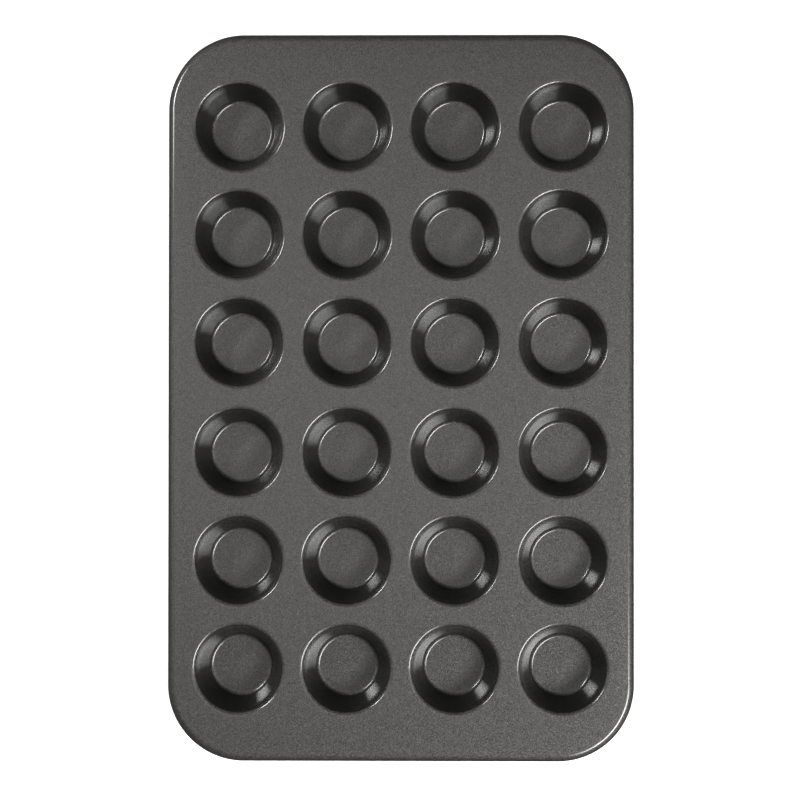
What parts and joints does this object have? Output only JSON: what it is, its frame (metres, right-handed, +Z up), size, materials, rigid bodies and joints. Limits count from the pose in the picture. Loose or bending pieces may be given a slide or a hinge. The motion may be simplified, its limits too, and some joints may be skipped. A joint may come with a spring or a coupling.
{
  "type": "mini muffin tin",
  "caption": "Coated steel mini muffin tin: flat deck with a grid of shallow tapered round cups, rounded corners and a rolled rim.",
  "frame": {"origin": "centre of the tin in plan, on the plane that the cup bottoms stand on", "axes": "+X across the columns, from column 1 to the last; +Y along the rows, towards row 1; +Z up, out of the cups"},
  "size_m": [0.2548, 0.3976, 0.0194],
  "materials": {
    "coated_sheet": "dark grey non-stick coating with a fine metallic fleck under a clear gloss; flecked on the deck and floors, glossier and darker on the drawn walls",
    "wire": "bare drawn steel wire, hidden inside the rolled rim"
  },
  "bodies": {
    "root": {"deck": "coated_sheet", "rolled_rim": "coated_sheet", "rim_wire": "wire", "cup_r1_c1": "coated_sheet", "cup_r1_c2": "coated_sheet", "cup_r1_c3": "coated_sheet", "cup_r1_c4": "coated_sheet", "cup_r2_c1": "coated_sheet", "cup_r2_c2": "coated_sheet", "cup_r2_c3": "coated_sheet", "cup_r2_c4": "coated_sheet", "cup_r3_c1": "coated_sheet", "cup_r3_c2": "coated_sheet", "cup_r3_c3": "coated_sheet", "cup_r3_c4": "coated_sheet", "cup_r4_c1": "coated_sheet", "cup_r4_c2": "coated_sheet", "cup_r4_c3": "coated_sheet", "cup_r4_c4": "coated_sheet", "cup_r5_c1": "coated_sheet", "cup_r5_c2": "coated_sheet", "cup_r5_c3": "coated_sheet", "cup_r5_c4": "coated_sheet", "cup_r6_c1": "coated_sheet", "cup_r6_c2": "coated_sheet", "cup_r6_c3": "coated_sheet", "cup_r6_c4": "coated_sheet"}
  },
  "joints": []
}
